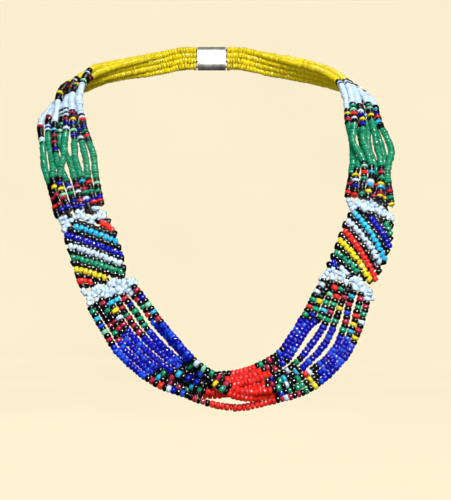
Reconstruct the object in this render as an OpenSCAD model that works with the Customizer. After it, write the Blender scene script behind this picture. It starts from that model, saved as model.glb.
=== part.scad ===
// Seed bead necklace of eight strings, with two woven panels and a clasp behind the neck.
// It has the form in which it is worn: +Y points behind the wearer and +Z is up.
// Left and right are as seen from the front, so +X points to the right there.
// The origin is where the clasp rests on the nape.

/* [Strings] */
// Outer diameter of a string of seed beads
bead_d = 2.4; // [2.2:0.1:2.5]
// Least distance between the middles of two strings that cross or lie side by side
string_apart = 2.72; // [2.6:0.02:2.8]
// Gap between the end of a string and the panel or the clasp that carries it
end_gap = 0.6; // [0.5:0.1:0.8]

/* [Woven panels] */
// Width of the woven middle of a panel
panel_w = 21.4; // [20:0.1:22]
// Width of a panel at its netted ends
net_w = 22; // [22:0.1:23]
// How far the middle of the left panel lies into the loop from the plain way between its ends
left_bend = 1.8; // [0:0.1:2.5]
// How far the middle of the right panel lies out of the loop
right_bend = 3; // [0:0.1:3.5]
// Thickness of a panel, one bead
panel_t = 2.4; // [2.2:0.1:2.5]
// Height of a panel's crown across its width
panel_bow = 0.6; // [0:0.1:1]
// Width of a gap in the netted ends
net_gap_w = 2.4; // [1.6:0.1:2.6]
// Distance from a panel's end to the middle of the gaps in its net
net_gap_in = 3; // [2.4:0.1:4]

/* [Clasp] */
// Length of the clasp round the neck
clasp_l = 14.4; // [10:0.2:14.4]
// Height of the clasp
clasp_h = 12; // [11.5:0.5:14]
// Thickness of the clasp, from the skin outwards
clasp_t = 6.5; // [6:0.1:7]

/* [Hidden] */
STRINGS = 8;
SIDES = ["upper_left", "front", "upper_right"];

// Faces round a string, and rings along it from one station to the next
STRING_FACES = 8;
RINGS_PER_STATION = 3;
// How fast a string starts to climb towards one that it will cross, in mm per mm
CLIMB = 1.2;
// Sections along a panel, points in each of its rounded edges and points across its crown
PANEL_SECTIONS = 8;
EDGE_POINTS = 4;
CROWN_POINTS = 3;
NET_GAPS = 4;
// How quickly a panel widens into its net: a higher power widens nearer the end
NET_FLARE = 4;

// Stations along the middle of the band. Columns: place x, y, z, then the direction out of the skin x, y, z.
LEFT = [
    [[-7.8, 1.9, 0], [0, 1, 0]], // clasp
    [[-15, 1.9, 0], [0, 1, 0]], // behind the neck
    [[-29, -3, -4], [-0.45, 0.85, 0.3]], // nape
    [[-51, -28, -12], [-0.8, 0.3, 0.55]], // side of the neck
    [[-63.5, -58, -21.5], [-0.6, -0.1, 0.8]], // ridge of the shoulder
    [[-67, -72, -30.5], [-0.5, -0.4, 0.75]],
    [[-68, -82, -38], [-0.35, -0.6, 0.7]],
    [[-65.5, -94, -49], [-0.2, -0.75, 0.6]],
    [[-63, -103, -58.5], [-0.15, -0.8, 0.55]],
    [[-60.5, -110, -68], [-0.15, -0.85, 0.5]],
    [[-56.5, -118, -81.5], [-0.12, -0.9, 0.42]], // top of the left panel
];
FRONT = [
    [[-43, -131, -117], [-0.12, -0.95, 0.28]], // foot of the left panel
    [[-36, -134.5, -127], [-0.1, -0.95, 0.28]],
    [[-29, -136.5, -135.5], [-0.08, -0.95, 0.28]],
    [[-18.5, -139.5, -146.5], [-0.05, -0.95, 0.28]],
    [[-7, -141, -153.5], [-0.02, -0.95, 0.28]],
    [[2, -142, -157.5], [0, -0.95, 0.28]],
    [[13, -142.5, -158.5], [0, -0.95, 0.28]], // middle of the front
    [[25.5, -142, -156.5], [0, -0.95, 0.28]],
    [[37.5, -140.5, -150.5], [0.03, -0.95, 0.28]],
    [[48.5, -138, -139.5], [0.07, -0.95, 0.28]],
    [[54.5, -135.5, -130], [0.1, -0.95, 0.28]],
    [[57.5, -133, -120.5], [0.12, -0.95, 0.28]],
    [[59, -131, -113], [0.14, -0.95, 0.28]], // foot of the right panel
];
RIGHT = [
    [[69, -118, -77.5], [0.14, -0.9, 0.42]], // top of the right panel
    [[72, -110, -65], [0.15, -0.85, 0.5]],
    [[72.5, -100, -53], [0.2, -0.8, 0.55]],
    [[70.5, -91, -42], [0.25, -0.75, 0.6]],
    [[68.5, -80, -32.5], [0.35, -0.6, 0.7]],
    [[67, -71, -26.5], [0.5, -0.45, 0.75]],
    [[64, -58, -21], [0.6, -0.1, 0.8]], // ridge of the shoulder
    [[51, -28, -12], [0.8, 0.3, 0.55]], // side of the neck
    [[29, -3, -4], [0.45, 0.85, 0.3]], // nape
    [[15, 1.9, 0], [0, 1, 0]], // behind the neck
    [[7.8, 1.9, 0], [0, 1, 0]], // clasp
];

// Places of strings 1 to 8 across the band at each station, positive towards the inside of the loop.
// Behind the neck the strings lie in four pairs, one string on the other.
PAIRED = [-4.2, -4.2, -1.4, -1.4, 1.4, 1.4, 4.2, 4.2];
LEFT_ACROSS = [
    PAIRED,
    PAIRED,
    PAIRED,
    PAIRED,
    [-8.4, -6.0, -3.8, -1.4, 1.1, 3.5, 6.0, 8.4],
    [-11.0, -8.0, -4.6, -1.6, 1.3, 4.2, 6.6, 9.0],
    [-10.8, -7.0, -3.0, 0.1, 3.1, 6.1, 7.9, 9.9],
    [-10.2, -7.2, -4.2, -2.2, 0.9, 4.9, 7.4, 10.3],
    [-10.9, -7.1, -4.6, 0.4, -1.2, 3.4, 7.9, 11.5],
    [-9.8, -7.9, -2.2, 1.4, -5.1, 4.4, 7.2, 10.7],
    [-9.7, -6.9, -1.3, 1.5, -4.1, 4.3, 7.1, 9.9],
];
FRONT_ACROSS = [
    [-9.4, -6.6, -1.0, 1.8, 4.6, -3.8, 7.4, 10.2],
    [-10.2, -6.6, -1.7, 1.5, 5.2, -4.2, 9.4, 11.5],
    [-11.2, -8.2, -2.0, 1.2, 4.6, -5.0, 8.6, 10.9],
    [-9.1, -6.0, -0.9, 2.4, 5.0, -3.5, 8.4, 9.8],
    [-6.5, -4.1, -0.4, 2.0, 4.7, -2.1, 4.4, 6.3],
    [-5.7, -2.0, 1.3, 4.5, 7.2, -1.2, 2.0, 5.1],
    [-6.0, 1.4, 3.7, 6.3, 8.9, -0.1, -2.6, 0.1],
    [-5.4, 3.6, 5.5, 8.1, 10.8, 1.1, -3.0, -1.6],
    [-8.1, 3.9, 7.2, 9.3, 11.9, 1.0, -5.2, -2.1],
    [-9.6, 4.8, 9.9, 12.0, 13.9, 0.4, -6.8, -4.1],
    [-9.2, 4.8, 8.0, 11.2, 14.1, 1.3, -6.4, -3.1],
    [-9.6, 3.9, 6.9, 9.8, 12.7, 0.8, -6.4, -2.4],
    [-9.8, 1.4, 4.2, 7.0, 9.8, -1.4, -7.0, -4.2],
];
RIGHT_ACROSS = [
    [-10.5, -7.7, -4.9, -2.1, 0.7, 6.3, 3.5, 9.1],
    [-5.7, -5.4, -3.4, -2.1, 1.3, 7.7, 4.8, 9.3],
    [-8.7, -4.9, -2.2, 1.4, 4.6, 4.3, 9.8, 8.8],
    [-5.4, -4.2, -2.5, -0.8, 2.2, 4.0, 6.1, 8.2],
    [-6.3, -5.4, -3.6, -2.6, 1.3, 2.8, 4.5, 6.2],
    [-6.0, -4.3, -2.8, -1.0, 1.0, 2.7, 4.2, 6.0],
    [-6.2, -4.4, -2.6, -0.9, 0.9, 2.6, 4.4, 6.2],
    PAIRED,
    PAIRED,
    PAIRED,
    PAIRED,
];

// The order in which the strings lie on each other, the lowest first
LEFT_ORDER = [4, 1, 2, 7, 6, 8, 3, 5];
FRONT_ORDER = [2, 6, 1, 5, 4, 3, 7, 8];
RIGHT_ORDER = [8, 6, 4, 2, 7, 5, 3, 1];

function unit(v) = v / norm(v);

// A smooth curve through the rows of a table, where t counts rows from 0.
function between(rows, t) =
    let (
        last = len(rows) - 1,
        k = max(0, min(last - 1, floor(t))),
        f = t - k,
        b = rows[k],
        c = rows[k + 1],
        a = k > 0 ? rows[k - 1] : 2 * b - c,
        d = k + 2 <= last ? rows[k + 2] : 2 * c - b
    )
    0.5 * (2 * b + (c - a) * f + (2 * a - 5 * b + 4 * c - d) * pow(f, 2) + (3 * b - a - 3 * c + d) * pow(f, 3));

// The band at t: its middle, the direction into the loop, the direction off the skin and the direction along.
function band(stations, t) =
    let (
        step = 0.05,
        at = between(stations, t),
        ahead = between(stations, min(t + step, len(stations) - 1)),
        back = between(stations, max(t - step, 0)),
        along = unit(ahead[0] - back[0]),
        inward = unit(cross(at[1], along))
    )
    [at[0], inward, cross(along, inward), along];

// Lift that takes a string over one at the lift below, when they are apart mm from each other across the band.
function over(apart, below) =
    below + (apart < string_apart ? sqrt(pow(string_apart, 2) - pow(apart, 2)) : CLIMB * (string_apart - apart));

// Lifts of the string that is laid next, at each ring, over those in done.
function next_lifts(lanes, order, done) =
    let (
        last = len(lanes) - 1,
        lane = order[len(done)] - 1,
        least = [
            for (k = [0:last])
            max([0, for (j = [0:1:len(done) - 1]) over(abs(lanes[k][lane] - lanes[k][order[j] - 1]), done[j][k])])
        ],
        wide = [for (k = [0:last]) max(least[max(k - 1, 0)], least[k], least[min(k + 1, last)])]
    )
    [for (k = [0:last]) (wide[max(k - 1, 0)] + 2 * wide[k] + wide[min(k + 1, last)]) / 4];

// Lifts of all the strings, one row for each, in the order in which they are laid.
function laid(lanes, order, done = []) =
    len(done) == len(order) ? done : laid(lanes, order, concat(done, [next_lifts(lanes, order, done)]));

// The path of string n: at each ring its middle and the direction off the skin.
function string_path(stations, across, order, n) =
    let (
        rings = (len(stations) - 1) * RINGS_PER_STATION,
        lanes = [for (k = [0:rings]) between(across, k / RINGS_PER_STATION)],
        lifts = laid(lanes, order)[search(n, order)[0]]
    )
    [
        for (k = [0:rings])
        let (at = band(stations, k / RINGS_PER_STATION))
        [at[0] + lanes[k][n - 1] * at[1] + lifts[k] * at[2], at[2]]
    ];

// Joins rings of equal size into one closed solid, with each four-sided face cut along its shorter diagonal.
module loft(rings) {
    size = len(rings[0]);
    last = len(rings) - 1;
    points = [for (ring = rings) each ring];
    walls = [
        for (k = [0:last - 1])
        for (s = [0:size - 1])
        let (
            next = (s + 1) % size,
            a = k * size + s,
            b = k * size + next,
            c = (k + 1) * size + next,
            d = (k + 1) * size + s
        )
        each (norm(points[a] - points[c]) < norm(points[b] - points[d])
            ? [[a, b, c], [a, c, d]]
            : [[a, b, d], [b, c, d]])
    ];
    foot = [for (s = [size - 1:-1:0]) s];
    head = [for (s = [0:size - 1]) last * size + s];
    polyhedron(points, concat(walls, [foot, head]), convexity = 6);
}

// A string of beads along its path.
module string_of_beads(path) {
    last = len(path) - 1;
    loft([
        for (k = [0:last])
        let (
            along = unit(path[min(k + 1, last)][0] - path[max(k - 1, 0)][0]),
            side = unit(cross(path[k][1], along)),
            up = cross(along, side)
        )
        [
            for (s = [0:STRING_FACES - 1])
            let (angle = 360 * (s + 0.5) / STRING_FACES)
            path[k][0] + bead_d / 2 * (cos(angle) * side + sin(angle) * up)
        ]
    ]);
}

module strand_upper_left(n) {
    color("seagreen") string_of_beads(string_path(LEFT, LEFT_ACROSS, LEFT_ORDER, n));
}

module strand_front(n) {
    color("mediumblue") string_of_beads(string_path(FRONT, FRONT_ACROSS, FRONT_ORDER, n));
}

module strand_upper_right(n) {
    color("seagreen") string_of_beads(string_path(RIGHT, RIGHT_ACROSS, RIGHT_ORDER, n));
}

// A panel from one place on the band to another, at the share u: its middle, the direction into the loop and
// the direction off the skin. The bend takes its middle into the loop.
function panel_at(from, to, bend, u) =
    let (
        start = from[0] + end_gap * from[3],
        end = to[0] - end_gap * to[3],
        reach = norm(end - start),
        plain = start * (2 * pow(u, 3) - 3 * pow(u, 2) + 1) + end * (3 * pow(u, 2) - 2 * pow(u, 3))
            + reach * from[3] * (pow(u, 3) - 2 * pow(u, 2) + u) + reach * to[3] * (pow(u, 3) - pow(u, 2)),
        inward = unit(from[1] * (1 - u) + to[1] * u)
    )
    [plain + 4 * bend * u * (1 - u) * inward, inward, unit(from[2] * (1 - u) + to[2] * u)];

function panel_width(u) = panel_w + (net_w - panel_w) * pow(abs(2 * u - 1), NET_FLARE);

// One cross-section of a panel, as points [across, off the skin]: round edges, and a crown that is bowed.
function panel_section(width) =
    let (
        r = panel_t / 2,
        reach = width / 2 - r,
        crown = [for (k = [1:CROWN_POINTS]) 1 - 2 * k / (CROWN_POINTS + 1)],
        edge = [for (k = [0:EDGE_POINTS - 1]) -90 + 180 * k / (EDGE_POINTS - 1)]
    )
    concat(
        [for (a = edge) [reach + r * cos(a), r * sin(a) - panel_bow]],
        [for (v = crown) [v * reach, r - panel_bow * pow(v, 2)]],
        [for (a = edge) [-reach - r * cos(a), -r * sin(a) - panel_bow]],
        [for (v = crown) [-v * reach, -r - panel_bow * pow(v, 2)]]
    );

// Drills the gaps of the net near the end of a panel, at the share u.
module net_gaps(from, to, bend, u) {
    at = panel_at(from, to, bend, u);
    off = at[2];
    pitch = net_w / NET_GAPS;
    for (k = [0:NET_GAPS - 1])
        translate(at[0] + (k - (NET_GAPS - 1) / 2) * pitch * at[1])
            rotate([0, acos(off[2]), atan2(off[1], off[0])])
                cylinder(d = net_gap_w, h = 4 * panel_t, center = true, $fn = 6);
}

module panel(from, to, bend) {
    share = net_gap_in / norm(to[0] - from[0]);
    difference() {
        loft([
            for (k = [0:PANEL_SECTIONS])
            let (u = k / PANEL_SECTIONS, at = panel_at(from, to, bend, u))
            [for (p = panel_section(panel_width(u))) at[0] + p[0] * at[1] + p[1] * at[2]]
        ]);
        net_gaps(from, to, bend, share);
        net_gaps(from, to, bend, 1 - share);
    }
}

module panel_left() {
    color("deepskyblue") panel(band(LEFT, len(LEFT) - 1), band(FRONT, 0), left_bend);
}

module panel_right() {
    color("tomato") panel(band(FRONT, len(FRONT) - 1), band(RIGHT, 0), -right_bend);
}

// A plain bar with round upper and lower edges, flat where it rests on the nape.
module clasp() {
    color("goldenrod")
        translate([-clasp_l / 2, 0, 0])
            rotate([90, 0, 90])
                linear_extrude(clasp_l)
                    for (side = [-1, 1]) {
                        translate([clasp_t / 2, side * (clasp_h - clasp_t) / 2]) circle(d = clasp_t, $fn = 48);
                        translate([0, -(clasp_h - clasp_t) / 2]) square([clasp_t, clasp_h - clasp_t]);
                    }
}

for (n = [1:STRINGS]) {
    strand_upper_left(n);
    strand_front(n);
    strand_upper_right(n);
}
panel_left();
panel_right();
clasp();
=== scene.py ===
"""Seed bead necklace of eight strings, with two woven panels and a clasp behind the neck.

Lengths are in millimetres until a mesh is made. The tables go round the loop in the order clasp, left
side, front, right side, clasp. Left and right are as seen from the front, so +X points to the right
there, and +Z is up.
"""
import math

import bpy
import numpy as np
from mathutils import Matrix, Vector


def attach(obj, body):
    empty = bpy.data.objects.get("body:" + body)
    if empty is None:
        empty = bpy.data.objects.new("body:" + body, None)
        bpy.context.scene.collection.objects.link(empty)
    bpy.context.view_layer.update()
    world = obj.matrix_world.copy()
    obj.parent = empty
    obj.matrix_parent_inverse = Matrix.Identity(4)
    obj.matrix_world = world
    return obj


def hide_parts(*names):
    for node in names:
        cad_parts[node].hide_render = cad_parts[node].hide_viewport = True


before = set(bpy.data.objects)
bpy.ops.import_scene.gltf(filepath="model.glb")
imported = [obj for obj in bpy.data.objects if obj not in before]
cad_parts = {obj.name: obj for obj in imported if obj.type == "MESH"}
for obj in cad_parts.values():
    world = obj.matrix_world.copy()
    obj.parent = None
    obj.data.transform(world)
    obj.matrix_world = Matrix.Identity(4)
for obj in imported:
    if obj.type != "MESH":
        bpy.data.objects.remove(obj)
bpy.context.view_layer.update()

MM = 0.001

# Strings: how many, how they clear each other, and the rings and steps of their routes
STRINGS = 8
STRING_APART = 2.72
CLIMB = 1.2
RINGS_PER_STATION = 3
STEPS_PER_RING = 12
END_GAP = 0.6

# One bead: its usual length and diameter, the share of its hole and the form of its section
FRONT_PITCH = 1.88
UPPER_PITCH = 1.5
BEAD_D = 3.2
HOLE_SHARE = 0.34
BEAD_GAP = 0.03
BEAD_SIDES = 14
PROFILE_POINTS = 10
PROFILE_POWER = 2.05

# How much beads differ, with limits: shares of size or direction, but the drift in millimetres
LENGTH_SPREAD = 0.11
LENGTH_LIMITS = (0.75, 1.3)
DIAMETER_SPREAD = 0.05
DIAMETER_LIMITS = (0.9, 1.08)
OVAL_SPREAD = 0.02
SKEW_SPREAD = 0.07
TILT_SPREAD = 0.05
DRIFT_SPREAD = 0.08

# The thread through the beads
THREAD_D = 0.5
THREAD_SIDES = 6
THREAD_REACH = 0.9

# Woven panels: the slab's crown and bends, then the beads of the coloured rows, the black bands and
# the net, with their tilts in degrees and their lifts off the slab's middle
PANEL_BOW = 0.6
PANEL_REACH = 9.5
PANEL_STEPS = 200
PANEL_SEEDS = {"left": 31, "right": 32}
LEFT_BEND = 1.8
RIGHT_BEND = 3
ROW_D = 2.9
ROW_LENGTH = 2.05
ROW_TILT = 28
ROW_LIFT = 0.35
ROW_LIFT_SPREAD = 0.05
ROW_SAG = 0.8
FULL_SAG_BEADS = 12
BLACK_D = 3.5
BLACK_LENGTH = 2.05
BLACK_PITCH = 1.9
BLACK_RAISE = 0.95
BLACK_SWAY = 0.3
BLACK_LIFTS = (-0.85, -1.15)
NET_D = 2.7
NET_LENGTH = 1.9
NET_TILT = 16
NET_LIFT_SPREAD = 0.25
LEAN_SPREAD = 8
WOVEN_LENGTH_SPREAD = 0.06
WOVEN_LENGTH_LIMITS = (0.85, 1.15)
WOVEN_DIAMETER_SPREAD = 0.04
WOVEN_DIAMETER_LIMITS = (0.92, 1.08)

# Stations along the middle of the band: place x, y, z, then the direction out of the skin x, y, z
LEFT = np.array([
    [-7.8, 1.9, 0, 0, 1, 0],  # clasp
    [-15, 1.9, 0, 0, 1, 0],  # behind the neck
    [-29, -3, -4, -0.45, 0.85, 0.3],  # nape
    [-51, -28, -12, -0.8, 0.3, 0.55],  # side of the neck
    [-63.5, -58, -21.5, -0.6, -0.1, 0.8],  # ridge of the shoulder
    [-67, -72, -30.5, -0.5, -0.4, 0.75],
    [-68, -82, -38, -0.35, -0.6, 0.7],
    [-65.5, -94, -49, -0.2, -0.75, 0.6],
    [-63, -103, -58.5, -0.15, -0.8, 0.55],
    [-60.5, -110, -68, -0.15, -0.85, 0.5],
    [-56.5, -118, -81.5, -0.12, -0.9, 0.42],  # top of the left panel
])
FRONT = np.array([
    [-43, -131, -117, -0.12, -0.95, 0.28],  # foot of the left panel
    [-36, -134.5, -127, -0.1, -0.95, 0.28],
    [-29, -136.5, -135.5, -0.08, -0.95, 0.28],
    [-18.5, -139.5, -146.5, -0.05, -0.95, 0.28],
    [-7, -141, -153.5, -0.02, -0.95, 0.28],
    [2, -142, -157.5, 0, -0.95, 0.28],
    [13, -142.5, -158.5, 0, -0.95, 0.28],  # middle of the front
    [25.5, -142, -156.5, 0, -0.95, 0.28],
    [37.5, -140.5, -150.5, 0.03, -0.95, 0.28],
    [48.5, -138, -139.5, 0.07, -0.95, 0.28],
    [54.5, -135.5, -130, 0.1, -0.95, 0.28],
    [57.5, -133, -120.5, 0.12, -0.95, 0.28],
    [59, -131, -113, 0.14, -0.95, 0.28],  # foot of the right panel
])
RIGHT = np.array([
    [69, -118, -77.5, 0.14, -0.9, 0.42],  # top of the right panel
    [72, -110, -65, 0.15, -0.85, 0.5],
    [72.5, -100, -53, 0.2, -0.8, 0.55],
    [70.5, -91, -42, 0.25, -0.75, 0.6],
    [68.5, -80, -32.5, 0.35, -0.6, 0.7],
    [67, -71, -26.5, 0.5, -0.45, 0.75],
    [64, -58, -21, 0.6, -0.1, 0.8],  # ridge of the shoulder
    [51, -28, -12, 0.8, 0.3, 0.55],  # side of the neck
    [29, -3, -4, 0.45, 0.85, 0.3],  # nape
    [15, 1.9, 0, 0, 1, 0],  # behind the neck
    [7.8, 1.9, 0, 0, 1, 0],  # clasp
])

# Places of strings 1 to 8 across the band at each station, positive towards the inside of the loop.
# Behind the neck the strings lie in four pairs, one string on the other.
PAIRED = [-4.2, -4.2, -1.4, -1.4, 1.4, 1.4, 4.2, 4.2]
LEFT_ACROSS = np.array([
    PAIRED,
    PAIRED,
    PAIRED,
    PAIRED,
    [-8.4, -6.0, -3.8, -1.4, 1.1, 3.5, 6.0, 8.4],
    [-11.0, -8.0, -4.6, -1.6, 1.3, 4.2, 6.6, 9.0],
    [-10.8, -7.0, -3.0, 0.1, 3.1, 6.1, 7.9, 9.9],
    [-10.2, -7.2, -4.2, -2.2, 0.9, 4.9, 7.4, 10.3],
    [-10.9, -7.1, -4.6, 0.4, -1.2, 3.4, 7.9, 11.5],
    [-9.8, -7.9, -2.2, 1.4, -5.1, 4.4, 7.2, 10.7],
    [-9.7, -6.9, -1.3, 1.5, -4.1, 4.3, 7.1, 9.9],
])
FRONT_ACROSS = np.array([
    [-9.4, -6.6, -1.0, 1.8, 4.6, -3.8, 7.4, 10.2],
    [-10.2, -6.6, -1.7, 1.5, 5.2, -4.2, 9.4, 11.5],
    [-11.2, -8.2, -2.0, 1.2, 4.6, -5.0, 8.6, 10.9],
    [-9.1, -6.0, -0.9, 2.4, 5.0, -3.5, 8.4, 9.8],
    [-6.5, -4.1, -0.4, 2.0, 4.7, -2.1, 4.4, 6.3],
    [-5.7, -2.0, 1.3, 4.5, 7.2, -1.2, 2.0, 5.1],
    [-6.0, 1.4, 3.7, 6.3, 8.9, -0.1, -2.6, 0.1],
    [-5.4, 3.6, 5.5, 8.1, 10.8, 1.1, -3.0, -1.6],
    [-8.1, 3.9, 7.2, 9.3, 11.9, 1.0, -5.2, -2.1],
    [-9.6, 4.8, 9.9, 12.0, 13.9, 0.4, -6.8, -4.1],
    [-9.2, 4.8, 8.0, 11.2, 14.1, 1.3, -6.4, -3.1],
    [-9.6, 3.9, 6.9, 9.8, 12.7, 0.8, -6.4, -2.4],
    [-9.8, 1.4, 4.2, 7.0, 9.8, -1.4, -7.0, -4.2],
])
RIGHT_ACROSS = np.array([
    [-10.5, -7.7, -4.9, -2.1, 0.7, 6.3, 3.5, 9.1],
    [-5.7, -5.4, -3.4, -2.1, 1.3, 7.7, 4.8, 9.3],
    [-8.7, -4.9, -2.2, 1.4, 4.6, 4.3, 9.8, 8.8],
    [-5.4, -4.2, -2.5, -0.8, 2.2, 4.0, 6.1, 8.2],
    [-6.3, -5.4, -3.6, -2.6, 1.3, 2.8, 4.5, 6.2],
    [-6.0, -4.3, -2.8, -1.0, 1.0, 2.7, 4.2, 6.0],
    [-6.2, -4.4, -2.6, -0.9, 0.9, 2.6, 4.4, 6.2],
    PAIRED,
    PAIRED,
    PAIRED,
    PAIRED,
])

# The order in which the strings lie on each other, the lowest first
LEFT_ORDER = [4, 1, 2, 7, 6, 8, 3, 5]
FRONT_ORDER = [2, 6, 1, 5, 4, 3, 7, 8]
RIGHT_ORDER = [8, 6, 4, 2, 7, 5, 3, 1]

# Glass colours in sRGB, by the letter that stands for each in the charts
GLASS = {
    "k": (0.01, 0.01, 0.012),
    "r": (0.90, 0.14, 0.09),
    "c": (0.66, 0.11, 0.22),
    "g": (0.03, 0.54, 0.38),
    "s": (0.50, 0.82, 0.66),
    "t": (0.12, 0.68, 0.86),
    "b": (0.00, 0.05, 0.66),
    "l": (0.08, 0.27, 0.85),
    "w": (0.77, 0.86, 0.94),
    "y": (0.90, 0.80, 0.08),
}
SHADE_SPREAD = 0.08

# Charts of the mixed stretches and the beads where plain stretches begin, one for each string,
# with its beads counted from 0 in the order of its route
LEFT_TOP_MIX = [
    "kykkckkkkwk", "kkkwkkkckkwk", "kkckkkkkykkk", "kkkkkkwkkkkk", "kkwkkkkckkkk", "kkkkkkykkkkk",
    "kkckkkkwkkkk", "kkkkwkkkkksk",
]
LEFT_WHITE_FROM = [67, 69, 74, 69, 73, 69, 68, 70]
LEFT_WHITE_TO = [83, 80, 88, 76, 82, 80, 80, 85]
LEFT_UPPER_MIX = [
    "ckkkkkkwsk", "kckkkkwbwk", "kkkktkkckkckkbk", "kkwkskkkgkksk", "kwkwkckbkwk", "kckkykbkkskbk",
    "kkckkgkkbkkwk", "kwrkkbkgkrkk",
]
LEFT_LOWER_MIX = [
    "kkkkkckkrkkk", "kkkykkckkckbk", "kbwkgkkbkbk", "kkckwkkckbk", "kkbkyksckkbk", "ktkkcgkwbkk",
    "krkkgkkbrk", "kskkgkbrk",
]
FRONT_LEFT_MIX = [
    "kgktkbkskck", "kkkkkkckgkc", "wktkykwkck", "wktkckgckckck", "wwkckbkgkgkgk", "kckgkkckck",
    "wwwwkckgkrk", "wwkckbksktkck",
]
FRONT_BLUE_TO = [22, 22, 24, 24, 23, 22, 24, 24]
FRONT_LOW_LEFT_MIX = [
    "kckrkwbkbkkckck", "ktkkckckgkkk", "ktkbkbkkk", "kkkbkkrkkck", "kgkkbkkgkkk", "kgkckkkktkgk",
    "kgkkbkkkykgk", "kwkskgkckck",
]
FRONT_RED_TO = [52, 48, 47, 43, 40, 47, 47, 44]
FRONT_LOW_RIGHT_MIX = [
    "kcwckckgkyk", "kbkkkwkkgk", "kckbk", "kckkk", "kgkckklk", "kckgtkktk", "kbkgkggkykk",
    "kgkwkkgkrwkk",
]
FRONT_RIGHT_MIX = [
    "kykckwkgkckwww", "kgkckgkrkgk", "kgktkgkskrk", "kbkgkykkkkk", "kgkrkgkwkwk", "kgkkykkckkk",
    "lktkykrkgkckw", "kgkckbkcktkw",
]
RIGHT_LOWER_MIX = [
    "ykgkckk", "kkykktkkck", "kkycktykgkckk", "kkckkkrkkk", "kkyktwkktkk", "rkkbkwkykk", "kgkkkkgkrksk",
    "krkkckkk",
]
RIGHT_UPPER_MIX = [
    "kktkrkbktkk", "kkwkkckkk", "kkykkkskgk", "kkwkkkkckck", "kbkykbkwkkk", "kkckkskk", "kkwkrkskgk",
    "kckkykk",
]
RIGHT_WHITE_FROM = [42, 42, 42, 44, 38, 36, 39, 35]
RIGHT_WHITE_TO = [54, 51, 53, 52, 52, 50, 50, 49]
RIGHT_TOP_MIX = "kwkk"

# Share of the front's blue beads that are of the lighter blue, for each string
LIGHT_BLUE_SHARE = [0.4, 0.25, 0.15, 0.15, 0.15, 0.3, 0.35, 0.25]

# Woven rows: glass, number of beads, then the first and the last bead as [across, down].
# Across is positive towards the inside of the loop, and down counts from the panel's top.
LEFT_ROWS = [
    ["r", 4, [7.3, 8.9], [10.2, 13.4]],
    ["t", 9, [-3.8, 6.4], [10.4, 19.7]],
    ["b", 13, [-9.0, 8.3], [10.9, 26.6]],
    ["w", 12, [-8.9, 13.4], [9.4, 30.2]],
    ["g", 11, [-9.5, 18.1], [8.6, 34.2]],
    ["y", 7, [-9.4, 23.4], [1.1, 32.7]],
    ["r", 3, [-9.7, 28.4], [-5.3, 31.1]],
]
RIGHT_ROWS = [
    ["g", 3, [-8.1, 8.0], [-10.2, 11.8]],
    ["b", 8, [-1.3, 7.5], [-10.7, 17.4]],
    ["t", 12, [5.9, 7.0], [-10.3, 23.8]],
    ["w", 11, [8.7, 11.1], [-8.7, 25.6]],
    ["r", 13, [9.2, 16.0], [-10.3, 33.9]],
    ["y", 11, [10.3, 20.5], [-7.9, 34.5]],
    ["g", 6, [10.2, 26.1], [-1.2, 32.3]],
    ["b", 2, [9.6, 30.8], [8.6, 32.0]],
]

# Black bands between the rows, from their first to their last bead as [across, down]
LEFT_BANDS = [
    [[5.8, 6.8], [9.8, 9.4]],
    [[-4.8, 3.6], [10.6, 16.6]],
    [[-8.2, 5.8], [10.8, 23.2]],
    [[-9.8, 10.6], [10.6, 28.8]],
    [[-9.9, 15.4], [10.2, 33.6]],
    [[-10.0, 20.6], [8.8, 37.0]],
    [[-10.0, 25.8], [1.4, 35.2]],
    [[-9.2, 31.0], [-3.8, 33.6]],
]
RIGHT_BANDS = [
    [[4.0, 4.9], [-7.0, 6.2]],
    [[-8.6, 5.8], [-10.6, 8.0]],
    [[-3.6, 6.8], [-10.8, 14.6]],
    [[2.4, 7.2], [-10.8, 20.6]],
    [[7.8, 8.4], [-10.6, 26.2]],
    [[9.8, 13.0], [-10.4, 30.4]],
    [[10.4, 18.0], [-9.0, 35.4]],
    [[10.6, 23.2], [-6.2, 35.2]],
    [[10.6, 28.4], [-1.6, 34.8]],
    [[10.6, 32.6], [6.6, 33.4]],
]

# Legs of the netted ends: glass, then a bead at each [across, down]
LEFT_NET = [
    ["w", [-8.8, 0.4], [-8.6, 2.6], [-8.6, 4.2], [-9.3, 5.6]],
    ["w", [-6.9, 0.2], [-6.5, 2.4], [-7.2, 4.6]],
    ["w", [-4.9, 2.6], [-3, 1.6], [-0.8, -0.5], [1.6, -1.4]],
    ["w", [0.1, 0.6], [-1.5, 2], [0.5, 2.4], [1.3, 4.2], [3.2, 6.4]],
    ["w", [4, 5.2], [5.5, 4.6], [7, 5.2], [8.9, 5.7]],
    ["w", [6.4, -0.8], [7.5, 0.6], [8.3, 3.2], [9.4, 4]],
    ["k", [3.2, 0.2], [4.5, 1.6], [5.5, 3]],
    ["k", [-4.6, 0.4], [-5.2, -1]],
    ["w", [-9.6, 32.4], [-9, 34], [-7.9, 35.3], [-6.4, 35.2], [-5, 34.6], [-3.6, 34.7], [-2.4, 34.6]],
    ["w", [-1.5, 36.7], [0.4, 36.8], [2.3, 36.3], [4.4, 36.2], [6.4, 38], [8.4, 38.9], [10.2, 39.8],
     [12, 40.8]],
    ["w", [-8.4, 36.9], [-9, 38.6]],
    ["w", [-5.6, 37.1], [-5.4, 39.2]],
    ["w", [-3.4, 36.8], [-2.2, 39], [-1, 40.4]],
    ["w", [3.7, 37.8], [2.2, 39.4], [1.2, 41.1]],
    ["w", [4.6, 40.2], [5.7, 42.1]],
    ["w", [7, 40.2], [8, 42], [7.6, 43.6]],
    ["w", [0.4, 38.6], [-0.6, 38.4]],
    ["w", [10.4, 41.8], [12.2, 42.4]],
]
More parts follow.
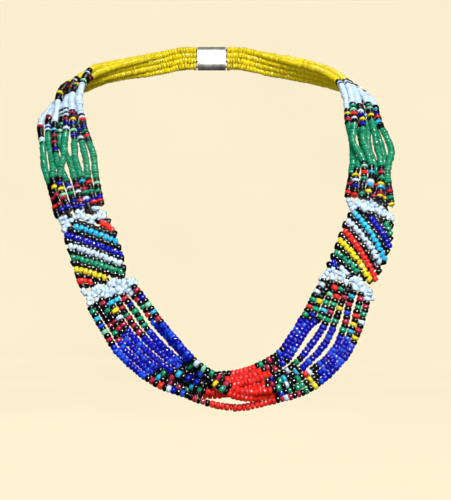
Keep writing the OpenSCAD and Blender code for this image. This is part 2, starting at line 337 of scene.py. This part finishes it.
RIGHT_NET = [
    ["w", [8.4, 0.8], [7.8, 2.8], [7, 4.5]],
    ["w", [3.6, 0.4], [3.9, 2.3], [2.6, 2.8], [1.5, 3.6], [0, 2.6], [-2, 2.8], [-4.2, 2.1]],
    ["w", [5.4, 1.2], [5.8, 3.2]],
    ["w", [1.5, 1.3], [0.5, -0.2], [-0.5, -1.6]],
    ["w", [-1.6, 1], [-2.8, -0.6]],
    ["w", [-4.5, -2.6], [-4.3, -0.4], [-6.1, 0.7], [-7.4, 2], [-8.8, 2.5], [-10.2, 3.2]],
    ["w", [-5.2, 3], [-7, 3.6], [-9, 4.4], [-10.9, 4.2]],
    ["k", [-6.6, -1], [-8.2, 0.6]],
    ["w", [9.8, 34.6], [10, 36.4], [10.3, 38.1], [11, 39.4]],
    ["w", [8.5, 33.9], [6.7, 34.8], [7.4, 36.6], [6.6, 38]],
    ["w", [5.1, 32.5], [3.4, 33.7], [4.4, 35.4], [3.8, 37.4]],
    ["w", [2.2, 34.4], [2.8, 36]],
    ["w", [-0.5, 36.4], [-1.8, 36.1], [-2.8, 37], [-3.1, 38.8]],
    ["w", [-4.4, 36], [-5.8, 37.4], [-7.6, 38.7], [-9.3, 40], [-10.6, 41], [-11.8, 42.6]],
    ["w", [-5, 38.2], [-8.8, 41.6]],
    ["w", [0.8, 37.9], [0.6, 39.6], [-0.2, 41.6]],
    ["k", [1, 36.4], [0.4, 35.4]],
]


# Routes

def unit(v):
    return v / np.linalg.norm(v, axis=-1, keepdims=True)


def across_from(v, axis):
    """The directions v, turned square to the axes."""
    return unit(v - axis * np.sum(v * axis, axis=-1, keepdims=True))


def between(rows, t):
    """A smooth curve through the rows of a table, where t counts rows from 0."""
    last = len(rows) - 1
    k = max(0, min(last - 1, math.floor(t)))
    f = t - k
    b, c = rows[k], rows[k + 1]
    a = rows[k - 1] if k > 0 else 2 * b - c
    d = rows[k + 2] if k + 2 <= last else 2 * c - b
    bend, twist = 2 * a - 5 * b + 4 * c - d, 3 * b - a - 3 * c + d
    return 0.5 * (2 * b + (c - a) * f + bend * f**2 + twist * f**3)


def band(stations, t):
    """The band at t: its middle, the direction into the loop, off the skin and along."""
    step = 0.05
    at = between(stations, t)
    ahead = between(stations, min(t + step, len(stations) - 1))
    back = between(stations, max(t - step, 0))
    along = unit(ahead[:3] - back[:3])
    inward = unit(np.cross(at[3:], along))
    return at[:3], inward, np.cross(along, inward), along


def laid(lanes, order):
    """Lifts of the strings at each ring, where each string lies over those laid before it."""
    lifts = np.zeros_like(lanes)
    for count, lane in enumerate(order):
        least = np.zeros(len(lanes))
        for under in order[:count]:
            apart = np.abs(lanes[:, lane - 1] - lanes[:, under - 1])
            over = np.sqrt(np.maximum(STRING_APART**2 - apart**2, 0))
            over = np.where(apart < STRING_APART, over, CLIMB * (STRING_APART - apart))
            least = np.maximum(least, lifts[:, under - 1] + over)
        padded = np.pad(least, 1, mode="edge")
        wide = np.maximum(np.maximum(padded[:-2], least), padded[2:])
        padded = np.pad(wide, 1, mode="edge")
        lifts[:, lane - 1] = (padded[:-2] + 2 * wide + padded[2:]) / 4
    return lifts


class Route:
    """One string's way, as places and directions off the skin at small steps of length."""

    def __init__(self, stations, across, order, n, pitch):
        rings = (len(stations) - 1) * RINGS_PER_STATION
        lanes = np.array([between(across, k / RINGS_PER_STATION) for k in range(rings + 1)])
        lifts = laid(lanes, order)
        rows = []
        for k in range(rings + 1):
            middle, inward, off, _ = band(stations, k / RINGS_PER_STATION)
            rows.append([*(middle + lanes[k, n - 1] * inward + lifts[k, n - 1] * off), *off])
        rows = np.array(rows)
        steps = np.linspace(0, rings, rings * STEPS_PER_RING + 1)
        fine = np.array([between(rows, t) for t in steps])
        self.places, self.offs = fine[:, :3], unit(fine[:, 3:])
        gaps = np.linalg.norm(np.diff(self.places, axis=0), axis=1)
        self.done = np.concatenate([[0], np.cumsum(gaps)])
        self.length = self.done[-1]
        self.count = round(self.length / pitch)

    def at(self, done):
        """Places, directions along and directions off the skin, where these lengths are done."""
        step = 0.4
        ahead, back = self.mixed(self.places, done + step), self.mixed(self.places, done - step)
        along = unit(ahead - back)
        return self.mixed(self.places, done), along, across_from(self.mixed(self.offs, done), along)

    def mixed(self, rows, done):
        return np.stack([np.interp(done, self.done, rows[:, k]) for k in range(3)], axis=1)


# Beads and threads

class Beads:
    """Beads and threads that become one mesh, and the random numbers that vary them."""

    def __init__(self, seed):
        self.rng = np.random.default_rng(seed)
        self.letters = []
        self.chains = []
        self.threads = []

    def add(self, letters, centres, axes, ups, lengths, diameters):
        self.letters.extend(letters)
        self.chains.append((centres, axes, ups, lengths, diameters))

    def thread(self, points):
        """A thread through these points."""
        self.threads.append(points)

    def varied(self, count, spread, limits):
        """A factor for each bead, near 1 and within the limits."""
        return np.clip(self.rng.normal(1, spread, count), *limits)


def bead_profile():
    """The section of a bead, from its hole outwards and back: shares of half its length and radius."""
    angle = 2 * np.pi * (np.arange(PROFILE_POINTS) + 0.5) / PROFILE_POINTS
    power = 2 / PROFILE_POWER
    length = np.sign(np.cos(angle)) * np.abs(np.cos(angle)) ** power
    width = np.sign(np.sin(angle)) * np.abs(np.sin(angle)) ** power
    return length, (1 + HOLE_SHARE) / 2 + (1 - HOLE_SHARE) / 2 * width


def bead_points(beads):
    """Grids of points of all the beads, with small differences in form from one to the next."""
    centres, axes, ups, lengths, diameters = (np.concatenate(column) for column in zip(*beads.chains))
    each = (len(centres), 1, 1)
    profile_length, profile_radius = bead_profile()
    turn = 2 * np.pi * np.arange(BEAD_SIDES) / BEAD_SIDES
    spin = beads.rng.uniform(0, 2 * np.pi, each)
    oval = beads.rng.normal(0, OVAL_SPREAD, each)
    skew = beads.rng.normal(0, SKEW_SPREAD, each)
    radius = diameters[:, None, None] / 2 * profile_radius[None, :, None]
    radius = radius * (1 + oval * np.cos(2 * (turn + spin)))
    reach = lengths[:, None, None] / 2 * profile_length[None, :, None]
    reach = reach + skew * radius * np.cos(turn + spin) * np.sign(profile_length)[None, :, None]
    return (
        centres[:, None, None, :]
        + reach[..., None] * axes[:, None, None, :]
        + (radius * np.cos(turn))[..., None] * ups[:, None, None, :]
        + (radius * np.sin(turn))[..., None] * np.cross(axes, ups)[:, None, None, :]
    )


def thread_points(path):
    """A grid of points round a path."""
    reference = [0.3, 0.2, 1]
    along = unit(np.gradient(path, axis=0))
    up = unit(np.cross(along, reference))
    side = np.cross(along, up)
    turn = 2 * np.pi * np.arange(THREAD_SIDES) / THREAD_SIDES
    ring = np.cos(turn)[:, None] * up[:, None, :] + np.sin(turn)[:, None] * side[:, None, :]
    return path[:, None, :] + THREAD_D / 2 * ring


def glass_colours(letters, rng):
    """A linear colour for each bead, a little lighter or darker than its glass."""
    shades = np.array([GLASS[letter] for letter in letters])
    linear = np.where(shades <= 0.04045, shades / 12.92, ((shades + 0.055) / 1.055) ** 2.4)
    change = 1 + rng.normal(0, SHADE_SPREAD, (len(letters), 1))
    return np.clip(linear * change, 0, 1)


def grid_faces(rings, sides, closed):
    """Four-sided faces of a grid of rings, and the place of each corner as shares of the grid."""
    spans = rings if closed else rings - 1
    ring, side = np.meshgrid(np.arange(spans), np.arange(sides), indexing="ij")
    ring, side = ring.ravel(), side.ravel()
    next_ring, next_side = (ring + 1) % rings, (side + 1) % sides
    faces = np.stack([
        ring * sides + side,
        ring * sides + next_side,
        next_ring * sides + next_side,
        next_ring * sides + side,
    ], axis=1)
    corners = np.stack([
        np.stack([ring, ring, ring + 1, ring + 1], axis=1) / spans,
        np.stack([side, side + 1, side + 1, side], axis=1) / sides,
    ], axis=2)
    return faces, corners


class Grids:
    """A mesh of many grids of points, where each grid has a cell of the bake map to itself."""

    def __init__(self, count):
        self.cells = math.ceil(math.sqrt(count))
        self.size = 0
        self.points, self.faces, self.maps, self.colours, self.slots = [], [], [], [], []

    def add(self, points, colour, slot, closed):
        """Adds a grid, with its colour and the slot of its material."""
        rings, sides = points.shape[:2]
        faces, corners = grid_faces(rings, sides, closed)
        self.maps.append(self.in_cell(corners))
        self.points.append(points.reshape(-1, 3))
        self.faces.append(faces + self.size)
        self.colours.append(np.tile([*colour, 1], (rings * sides, 1)))
        self.slots.append(np.full(len(faces), slot))
        self.size += rings * sides

    def in_cell(self, corners):
        """Moves shares of a grid into the next cell of the bake map, with a margin."""
        margin = 0.06
        row, column = divmod(len(self.maps), self.cells)
        return (np.array([column, row]) + margin + (1 - 2 * margin) * corners) / self.cells

    def to_object(self, name, materials):
        points, faces = np.concatenate(self.points), np.concatenate(self.faces)
        mesh = bpy.data.meshes.new(name)
        mesh.vertices.add(len(points))
        mesh.vertices.foreach_set("co", (points * MM).ravel())
        mesh.loops.add(faces.size)
        mesh.loops.foreach_set("vertex_index", faces.ravel())
        mesh.polygons.add(len(faces))
        mesh.polygons.foreach_set("loop_start", np.arange(0, faces.size, 4))
        mesh.polygons.foreach_set("material_index", np.concatenate(self.slots))
        mesh.update(calc_edges=True)
        mesh.shade_smooth()
        glass = mesh.attributes.new("glass", "FLOAT_COLOR", "POINT")
        glass.data.foreach_set("color", np.concatenate(self.colours).ravel())
        layer = mesh.uv_layers.new(name="OFBake")
        layer.data.foreach_set("uv", np.concatenate(self.maps).ravel())
        for material in materials:
            mesh.materials.append(material)
        piece = bpy.data.objects.new(name, mesh)
        bpy.context.scene.collection.objects.link(piece)
        return piece


def bead_object(name, beads, nodes):
    """One mesh of all the beads and their threads, which replaces the nodes."""
    glass = bead_points(beads)
    colours = glass_colours(beads.letters, beads.rng)
    grids = Grids(len(glass) + len(beads.threads))
    for points, colour in zip(glass, colours):
        grids.add(points, colour, 0, closed=True)
    for path in beads.threads:
        grids.add(thread_points(path), (0, 0, 0), 1, closed=False)
    piece = grids.to_object(name, [bead_glass, thread])
    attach(piece, "root")
    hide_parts(*nodes)
    return piece


# Materials

def new_material(name):
    """A material with its shader, and a function that adds a node with values and links."""
    material = bpy.data.materials.new(name)
    material.use_nodes = True
    nodes, links = material.node_tree.nodes, material.node_tree.links
    shader = nodes["Principled BSDF"]

    def add(kind, values=(), **inputs):
        node = nodes.new(kind)
        for key, value in dict(values).items():
            setattr(node, key, value)
        for key, value in inputs.items():
            socket = node.inputs[key.replace("_", " ")]
            if isinstance(value, bpy.types.NodeSocket):
                links.new(value, socket)
            else:
                socket.default_value = value
        return node

    return material, shader, add, links


def spread(add, source, low, high):
    """Maps a share from 0 to 1 to a range."""
    return add("ShaderNodeMapRange", Value=source, To_Min=low, To_Max=high).outputs["Result"]


def two_tone(add, source, low, high, ends=(0, 1)):
    """A colour from low to high, as the source goes from one end to the other."""
    ramp = add("ShaderNodeValToRGB", Fac=source)
    for element, end, colour in zip(ramp.color_ramp.elements, ends, (low, high)):
        element.position = end
        element.color = (*colour, 1)
    return ramp.outputs["Color"]


def make_bead_glass():
    material, shader, add, links = new_material("bead_glass")
    place = add("ShaderNodeTexCoord").outputs["Object"]
    glass = add("ShaderNodeAttribute", {"attribute_name": "glass"}).outputs["Color"]
    cloud = add("ShaderNodeTexNoise", Vector=place, Scale=900.0, Detail=2.0).outputs["Fac"]
    grain = add("ShaderNodeTexNoise", Vector=place, Scale=3500.0, Detail=3.0).outputs["Fac"]
    shade = add("ShaderNodeHueSaturation", Color=glass, Value=spread(add, cloud, 0.86, 1.14))
    links.new(shade.outputs["Color"], shader.inputs["Base Color"])
    links.new(spread(add, cloud, 0.25, 0.4), shader.inputs["Roughness"])
    dents = add("ShaderNodeBump", Height=grain, Strength=0.25, Distance=0.00003)
    links.new(dents.outputs["Normal"], shader.inputs["Normal"])
    shader.inputs["Specular IOR Level"].default_value = 0.05
    shader.inputs["Coat Weight"].default_value = 1
    shader.inputs["Coat Roughness"].default_value = 0.05
    return material


def make_thread():
    material, shader, add, links = new_material("thread")
    place = add("ShaderNodeTexCoord").outputs["Object"]
    fibre = add("ShaderNodeTexNoise", Vector=place, Scale=6000.0, Detail=4.0).outputs["Fac"]
    colour = two_tone(add, fibre, (0.02, 0.02, 0.022), (0.1, 0.1, 0.11))
    links.new(colour, shader.inputs["Base Color"])
    shader.inputs["Roughness"].default_value = 0.8
    return material


def make_clasp_metal():
    material, shader, add, links = new_material("clasp_metal")
    place = add("ShaderNodeTexCoord").outputs["Object"]
    stretched = add("ShaderNodeMapping", Vector=place, Scale=(60, 900, 900)).outputs["Vector"]
    brushed = add("ShaderNodeTexNoise", Vector=stretched, Scale=3.0, Detail=4.0).outputs["Fac"]
    tarnish = add("ShaderNodeTexNoise", Vector=place, Scale=260.0, Detail=3.0).outputs["Fac"]
    colour = two_tone(add, tarnish, (0.22, 0.21, 0.19), (0.4, 0.39, 0.37), (0.35, 0.62))
    links.new(colour, shader.inputs["Base Color"])
    links.new(spread(add, brushed, 0.38, 0.62), shader.inputs["Roughness"])
    lines = add("ShaderNodeBump", Height=brushed, Strength=0.3, Distance=0.00005)
    links.new(lines.outputs["Normal"], shader.inputs["Normal"])
    shader.inputs["Metallic"].default_value = 0.65
    return material


def make_paper():
    material, shader, add, links = new_material("paper")
    place = add("ShaderNodeTexCoord").outputs["Object"]
    cloud = add("ShaderNodeTexNoise", Vector=place, Scale=3.0, Detail=2.0).outputs["Fac"]
    colour = two_tone(add, cloud, (0.86, 0.76, 0.55), (0.93, 0.83, 0.6))
    links.new(colour, shader.inputs["Emission Color"])
    shader.inputs["Emission Strength"].default_value = 1.05
    shader.inputs["Base Color"].default_value = (0.08, 0.07, 0.05, 1)
    shader.inputs["Roughness"].default_value = 1
    shader.inputs["Specular IOR Level"].default_value = 0
    return material


# Strings

def painted(count, runs, charts):
    """Letters of a string: plain runs as (bead they start at, letter), then charts as (bead, chart)."""
    letters = []
    for k in range(count):
        run = sum(start <= k for start, _ in runs) - 1
        letters.append(runs[run][1])
    for first, chart in charts:
        first = first if first >= 0 else count + first
        letters[first:first + len(chart)] = chart
    return letters[:count]


def left_letters(count, n):
    top, mix, lower = LEFT_TOP_MIX[n - 1], LEFT_UPPER_MIX[n - 1], LEFT_LOWER_MIX[n - 1]
    white_from, white_to = LEFT_WHITE_FROM[n - 1], LEFT_WHITE_TO[n - 1]
    runs = [(0, "y"), (white_from, "w"), (white_to, "g")]
    return painted(count, runs, [(white_from - len(top), top), (white_to, mix), (-len(lower), lower)])


def front_letters(count, n):
    first, low_left = FRONT_LEFT_MIX[n - 1], FRONT_LOW_LEFT_MIX[n - 1]
    low_right, last = FRONT_LOW_RIGHT_MIX[n - 1], FRONT_RIGHT_MIX[n - 1]
    blue_to, red_to = FRONT_BLUE_TO[n - 1], FRONT_RED_TO[n - 1]
    runs = [(0, "b"), (blue_to, "r"), (red_to, "b")]
    charts = [(0, first), (blue_to, low_left), (red_to, low_right), (-len(last), last)]
    return painted(count, runs, charts)


def right_letters(count, n):
    lower, mix = RIGHT_LOWER_MIX[n - 1], RIGHT_UPPER_MIX[n - 1]
    white_from, white_to = RIGHT_WHITE_FROM[n - 1], RIGHT_WHITE_TO[n - 1]
    runs = [(0, "g"), (white_from, "w"), (white_to, "y")]
    return painted(count, runs, [(0, lower), (white_from - len(mix), mix), (white_to, RIGHT_TOP_MIX)])


SIDES = {
    "upper_left": (LEFT, LEFT_ACROSS, LEFT_ORDER, UPPER_PITCH, left_letters, "upper_beads"),
    "front": (FRONT, FRONT_ACROSS, FRONT_ORDER, FRONT_PITCH, front_letters, "front_beads"),
    "upper_right": (RIGHT, RIGHT_ACROSS, RIGHT_ORDER, UPPER_PITCH, right_letters, "upper_beads"),
}


def with_lighter_blue(letters, share, rng):
    """Gives this share of the blue beads the lighter blue."""
    lighter = rng.uniform(0, 1, len(letters)) < share
    return ["l" if old == "b" and new else old for old, new in zip(letters, lighter)]


def string_beads(beads, route, letters):
    """Beads from one end of a route to the other, which drift and tilt a little, and their thread."""
    count = len(letters)
    shares = beads.varied(count, LENGTH_SPREAD, LENGTH_LIMITS)
    lengths = shares / shares.sum() * route.length
    centres, along, off = route.at(np.cumsum(lengths) - lengths / 2)
    inward = np.cross(off, along)
    centres = centres + beads.rng.normal(0, DRIFT_SPREAD, (count, 1)) * off
    centres = centres + beads.rng.normal(0, DRIFT_SPREAD, (count, 1)) * inward
    tilted = along + beads.rng.normal(0, TILT_SPREAD, (count, 1)) * off
    axes = unit(tilted + beads.rng.normal(0, TILT_SPREAD, (count, 1)) * inward)
    diameters = BEAD_D * beads.varied(count, DIAMETER_SPREAD, DIAMETER_LIMITS)
    beads.add(letters, centres, axes, across_from(off, axes), lengths - BEAD_GAP, diameters)
    ends, directions, _ = route.at(np.array([0.0, route.length]))
    first, last = ends + THREAD_REACH * directions * [[-1], [1]]
    beads.thread(np.concatenate([[first], centres, [last]]))


def make_string(side, n):
    stations, across, order, pitch, letters_of, slot = SIDES[side]
    route = Route(stations, across, order, n, pitch)
    beads = Beads([n, list(SIDES).index(side)])
    letters = letters_of(route.count, n)
    if side == "front":
        letters = with_lighter_blue(letters, LIGHT_BLUE_SHARE[n - 1], beads.rng)
    string_beads(beads, route, letters)
    return bead_object(f"beads_{side}_{n}", beads, [f"strand_{side}_{n}"])


# Woven panels

class Panel:
    """The way of a woven panel from its top to its foot."""

    def __init__(self, top, foot, bend):
        self.top, self.foot, self.bend = top, foot, bend
        self.start = top[0] + END_GAP * top[3]
        self.end = foot[0] - END_GAP * foot[3]
        self.reach = np.linalg.norm(self.end - self.start)
        self.steps = np.linspace(0, 1, PANEL_STEPS + 1)
        places = np.array([self.middle(u)[0] for u in self.steps])
        gaps = np.linalg.norm(np.diff(places, axis=0), axis=1)
        self.done = np.concatenate([[0], np.cumsum(gaps)])

    def middle(self, u):
        """The middle at the share u, the direction into the loop and the direction off the skin."""
        inside = min(max(u, 0), 1)
        u2, u3 = inside**2, inside**3
        place = self.start * (2 * u3 - 3 * u2 + 1) + self.end * (3 * u2 - 2 * u3)
        place = place + self.reach * self.top[3] * (u3 - 2 * u2 + inside)
        place = place + self.reach * self.foot[3] * (u3 - u2)
        inward = unit(self.top[1] * (1 - inside) + self.foot[1] * inside)
        off = unit(self.top[2] * (1 - inside) + self.foot[2] * inside)
        return place + 4 * self.bend * inside * (1 - inside) * inward, inward, off

    def place(self, across, down, lift):
        """A point of the panel, and the direction off the skin there."""
        length = self.done[-1]
        u = np.interp(down, self.done, self.steps)
        middle, inward, off = self.middle(u)
        if down < 0:
            middle = middle + down * self.top[3]
        if down > length:
            middle = middle + (down - length) * self.foot[3]
        lift = lift - PANEL_BOW * (across / PANEL_REACH) ** 2
        return middle + across * inward + lift * off, off


def turned(axis, off, degrees):
    """The axis turned in the plane of the panel."""
    angle = math.radians(degrees)
    return unit(math.cos(angle) * axis + math.sin(angle) * np.cross(off, axis))


def add_chain(panel, beads, letter, corners, lifts, tilt, length, diameter):
    """Beads at these places of the panel, which tilt to and fro, and the thread through them."""
    found = [panel.place(*corner, lift) for corner, lift in zip(corners, lifts)]
    places, offs = (np.array(column) for column in zip(*found))
    count = len(places)
    along = unit(np.gradient(places, axis=0))
    tilts = [tilt * (-1) ** k + beads.rng.normal(0, LEAN_SPREAD) for k in range(count)]
    axes = np.array([turned(a, o, t) for a, o, t in zip(along, offs, tilts)])
    lengths = length * beads.varied(count, WOVEN_LENGTH_SPREAD, WOVEN_LENGTH_LIMITS)
    diameters = diameter * beads.varied(count, WOVEN_DIAMETER_SPREAD, WOVEN_DIAMETER_LIMITS)
    beads.add(letter * count, places, axes, across_from(offs, axes), lengths, diameters)
    beads.thread(places)


def add_row(panel, beads, letter, count, first, last):
    """A woven row of coloured beads, which sags a little towards the panel's top."""
    share = np.linspace(0, 1, count)
    corners = np.array(first) + (np.array(last) - np.array(first)) * share[:, None]
    sag = ROW_SAG * min(1, count / FULL_SAG_BEADS)
    corners[:, 1] -= sag * 4 * share * (1 - share)
    lifts = ROW_LIFT + beads.rng.normal(0, ROW_LIFT_SPREAD, count)
    add_chain(panel, beads, letter, corners, lifts, ROW_TILT, ROW_LENGTH, ROW_D)


def add_band(panel, beads, first, last):
    """A band of black beads, deeper than the rows and every second one deeper still."""
    first, last = np.array(first), np.array(last)
    count = max(2, round(np.linalg.norm(last - first) / BLACK_PITCH) + 1)
    turns = (-1.0) ** np.arange(count)
    corners = first + (last - first) * np.linspace(0, 1, count)[:, None]
    corners[:, 1] += BLACK_SWAY * turns - BLACK_RAISE
    lifts = np.where(turns > 0, *BLACK_LIFTS)
    add_chain(panel, beads, "k", corners, lifts, ROW_TILT, BLACK_LENGTH, BLACK_D)


def add_leg(panel, beads, letter, *corners):
    """A leg of the net."""
    lifts = beads.rng.normal(0, NET_LIFT_SPREAD, len(corners))
    add_chain(panel, beads, letter, corners, lifts, NET_TILT, NET_LENGTH, NET_D)


def make_panel(side, panel, rows, bands, net):
    beads = Beads(PANEL_SEEDS[side])
    for row in rows:
        add_row(panel, beads, *row)
    for first, last in bands:
        add_band(panel, beads, first, last)
    for leg in net:
        add_leg(panel, beads, *leg)
    return bead_object(f"weave_{side}", beads, [f"panel_{side}"])


def backwards(at):
    """The band at a place, seen along the other way."""
    middle, inward, off, along = at
    return middle, inward, off, -along


def make_panels():
    left = Panel(band(LEFT, len(LEFT) - 1), band(FRONT, 0), LEFT_BEND)
    right_foot = band(FRONT, len(FRONT) - 1)
    right = Panel(backwards(band(RIGHT, 0)), backwards(right_foot), -RIGHT_BEND)
    make_panel("left", left, LEFT_ROWS, LEFT_BANDS, LEFT_NET)
    make_panel("right", right, RIGHT_ROWS, RIGHT_BANDS, RIGHT_NET)


# Clasp

def dress_clasp():
    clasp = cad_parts["clasp"]
    clasp.data.materials.clear()
    clasp.data.materials.append(make_clasp_metal())


# Stage, in metres

def stage_profile():
    """Radius and height from the middle of the floor, round the bend and up the wall."""
    middle_r, floor_r, wall_r = 0.02, 2.2, 3.4
    floor_z, wall_z = -0.32, 2.6
    bend, steps = wall_r - floor_r, 12
    profile = [(middle_r, floor_z), (floor_r, floor_z)]
    for k in range(1, steps + 1):
        angle = math.radians(90 * k / steps)
        profile.append((floor_r + bend * math.sin(angle), floor_z + bend * (1 - math.cos(angle))))
    profile.append((wall_r, wall_z))
    return profile


def make_stage():
    """A pale floor that curves up all round into a pale wall."""
    profile, sides = stage_profile(), 72
    points = []
    for r, z in profile:
        for k in range(sides):
            turn = 2 * math.pi * k / sides
            points.append((r * math.cos(turn), r * math.sin(turn), z))
    faces, _ = grid_faces(len(profile), sides, closed=False)
    mesh = bpy.data.meshes.new("studio_floor")
    mesh.from_pydata(points, [], [list(range(sides))] + faces[:, ::-1].tolist())
    mesh.shade_smooth()
    mesh.materials.append(make_paper())
    floor = bpy.data.objects.new("studio_floor", mesh)
    bpy.context.scene.collection.objects.link(floor)
    floor.visible_glossy = False
    floor.visible_diffuse = False


def add_area(name, place, target, size, power, colour, lit=True, reflected=False):
    """A soft lamp, which lights surfaces, shows in their gloss or does both."""
    light = bpy.data.lights.new(name, "AREA")
    light.size = size
    light.energy = power
    light.color = colour
    lamp = bpy.data.objects.new(name, light)
    lamp.location = place
    lamp.rotation_euler = (Vector(target) - Vector(place)).to_track_quat("-Z", "Y").to_euler()
    lamp.visible_diffuse = lit
    lamp.visible_glossy = reflected
    bpy.context.scene.collection.objects.link(lamp)


def make_lights():
    middle = (0.0, -0.08, -0.08)
    add_area("key", (0.3, -1.0, 0.6), middle, 0.4, 15, (1.0, 0.98, 0.94))
    add_area("glint", (0.25, -1.0, 0.45), middle, 0.2, 42, (1.0, 1.0, 1.0), lit=False, reflected=True)
    add_area("fill", (-0.7, -1.1, 0.2), middle, 1.2, 4, (0.94, 0.97, 1.0))
    add_area("back", (0.1, 0.9, 0.7), middle, 0.8, 8, (1.0, 0.98, 0.95))
    world = bpy.data.worlds.new("studio")
    world.use_nodes = True
    background = world.node_tree.nodes["Background"]
    background.inputs["Color"].default_value = (0.9, 0.93, 1.0, 1)
    background.inputs["Strength"].default_value = 0.3
    bpy.context.scene.world = world
    world.cycles_visibility.glossy = False
    bpy.context.scene.view_settings.view_transform = "Standard"


def make_camera():
    """A long lens in front of the chest, level with the middle of the photograph."""
    camera = bpy.data.cameras.new("camera")
    camera.sensor_width = 36
    camera.lens = 111.4
    seat = bpy.data.objects.new("camera", camera)
    seat.location = (0.0071, -0.792, -0.0983)
    seat.rotation_euler = (math.radians(90), 0, 0)
    bpy.context.scene.collection.objects.link(seat)
    bpy.context.scene.camera = seat


bead_glass = make_bead_glass()
thread = make_thread()
make_camera()
make_lights()
make_stage()
for side in SIDES:
    for n in range(1, STRINGS + 1):
        make_string(side, n)
make_panels()
dress_clasp()
